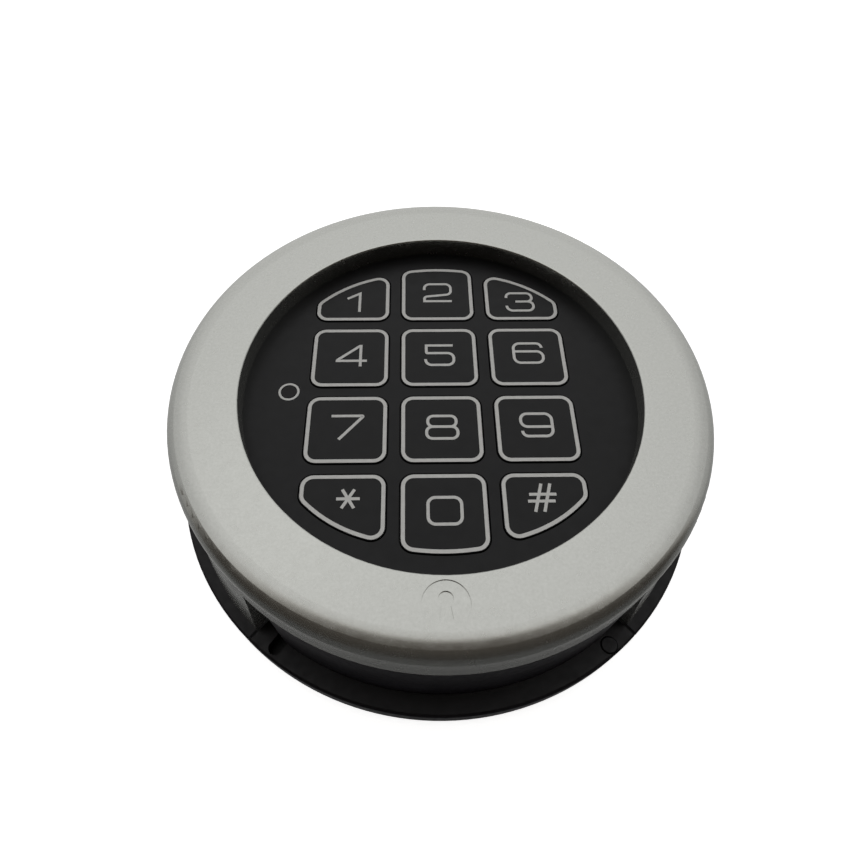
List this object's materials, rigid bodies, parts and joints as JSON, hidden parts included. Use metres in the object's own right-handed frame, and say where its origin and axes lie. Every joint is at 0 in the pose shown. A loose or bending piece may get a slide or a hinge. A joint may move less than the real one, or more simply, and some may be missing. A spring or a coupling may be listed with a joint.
{
  "type": "safe lock keypad",
  "caption": "Round turning keypad for a safe lock: silver dial ring, recessed black key face, sliding battery drawer at the front edge and a screw-on rear mounting base.",
  "frame": {"origin": "centre of the rear face that lies against the door", "axes": "+Z out of the door towards the user, +Y towards the top row of keys, -Y towards the battery drawer, +X to the user's right"},
  "size_m": [0.1076, 0.1076, 0.03],
  "materials": {
    "print_ink": "pale grey screen print",
    "satin_silver": "fine satin metallic lacquer on a die casting",
    "black_plastic": "moulded black plastic, fine texture",
    "face_black": "smooth satin black overlay film",
    "base_plastic": "moulded black glass-filled plastic",
    "brass": "turned",
    "acetal": "smooth",
    "spring_steel": "bright stamped",
    "screw_steel": "zinc plated",
    "zinc": "die cast",
    "board_green": "solder mask",
    "chip_black": "moulded epoxy",
    "capacitor_sleeve": "shrink sleeve",
    "socket_white": "moulded nylon",
    "led_white": "clear epoxy over phosphor",
    "lens": "smoked lens",
    "battery_jacket": "printed metal jacket, plain",
    "terminal_metal": "nickel plated"
  },
  "bodies": {
    "base": {"mounting_base": "base_plastic", "hub_bush": "brass", "friction_washer": "acetal", "retaining_ring": "spring_steel"},
    "dial": {"dial_housing": "satin_silver", "rear_chassis": "black_plastic", "face_plate": "face_black", "circuit_board": "board_green", "drive_hub": "zinc", "stop_pin": "spring_steel", "led_lens": "lens", "status_led": "led_white", "controller_chip": "chip_black", "buzzer": "chip_black", "cable_socket": "socket_white", "cable_socket_pins": "brass", "board_capacitors": "capacitor_sleeve", "board_resistors": "chip_black", "battery_contacts": "spring_steel", "snap_domes": "spring_steel", "board_screws": "screw_steel", "face_screws": "screw_steel", "housing_screws": "screw_steel", "hub_screws": "screw_steel"},
    "drawer": {"battery_drawer": "black_plastic", "drawer_pin": "black_plastic", "battery": "battery_jacket", "battery_stud_terminal": "terminal_metal", "battery_cup_terminal": "terminal_metal"},
    "key_1": {"key_1": "face_black"},
    "key_2": {"key_2": "face_black"},
    "key_3": {"key_3": "face_black"},
    "key_4": {"key_4": "face_black"},
    "key_5": {"key_5": "face_black"},
    "key_6": {"key_6": "face_black"},
    "key_7": {"key_7": "face_black"},
    "key_8": {"key_8": "face_black"},
    "key_9": {"key_9": "face_black"},
    "key_star": {"key_star": "face_black"},
    "key_0": {"key_0": "face_black"},
    "key_hash": {"key_hash": "face_black"}
  },
  "joints": [
    {"name": "dial_turn", "type": "hinge", "parent": "base", "child": "dial", "pos_m": [0, 0, 0], "axis": [0, 0, 1], "range_deg": [-90, 0]},
    {"name": "drawer_slide", "type": "slide", "parent": "dial", "child": "drawer", "axis": [0, -1, 0], "range_m": [0, 0.03]},
    {"name": "key_1_press", "type": "slide", "parent": "dial", "child": "key_1", "axis": [0, 0, -1], "range_m": [0, 0.0004], "stiffness_N_per_m": 4000},
    {"name": "key_2_press", "type": "slide", "parent": "dial", "child": "key_2", "axis": [0, 0, -1], "range_m": [0, 0.0004], "stiffness_N_per_m": 4000},
    {"name": "key_3_press", "type": "slide", "parent": "dial", "child": "key_3", "axis": [0, 0, -1], "range_m": [0, 0.0004], "stiffness_N_per_m": 4000},
    {"name": "key_4_press", "type": "slide", "parent": "dial", "child": "key_4", "axis": [0, 0, -1], "range_m": [0, 0.0004], "stiffness_N_per_m": 4000},
    {"name": "key_5_press", "type": "slide", "parent": "dial", "child": "key_5", "axis": [0, 0, -1], "range_m": [0, 0.0004], "stiffness_N_per_m": 4000},
    {"name": "key_6_press", "type": "slide", "parent": "dial", "child": "key_6", "axis": [0, 0, -1], "range_m": [0, 0.0004], "stiffness_N_per_m": 4000},
    {"name": "key_7_press", "type": "slide", "parent": "dial", "child": "key_7", "axis": [0, 0, -1], "range_m": [0, 0.0004], "stiffness_N_per_m": 4000},
    {"name": "key_8_press", "type": "slide", "parent": "dial", "child": "key_8", "axis": [0, 0, -1], "range_m": [0, 0.0004], "stiffness_N_per_m": 4000},
    {"name": "key_9_press", "type": "slide", "parent": "dial", "child": "key_9", "axis": [0, 0, -1], "range_m": [0, 0.0004], "stiffness_N_per_m": 4000},
    {"name": "key_star_press", "type": "slide", "parent": "dial", "child": "key_star", "axis": [0, 0, -1], "range_m": [0, 0.0004], "stiffness_N_per_m": 4000},
    {"name": "key_0_press", "type": "slide", "parent": "dial", "child": "key_0", "axis": [0, 0, -1], "range_m": [0, 0.0004], "stiffness_N_per_m": 4000},
    {"name": "key_hash_press", "type": "slide", "parent": "dial", "child": "key_hash", "axis": [0, 0, -1], "range_m": [0, 0.0004], "stiffness_N_per_m": 4000}
  ]
}
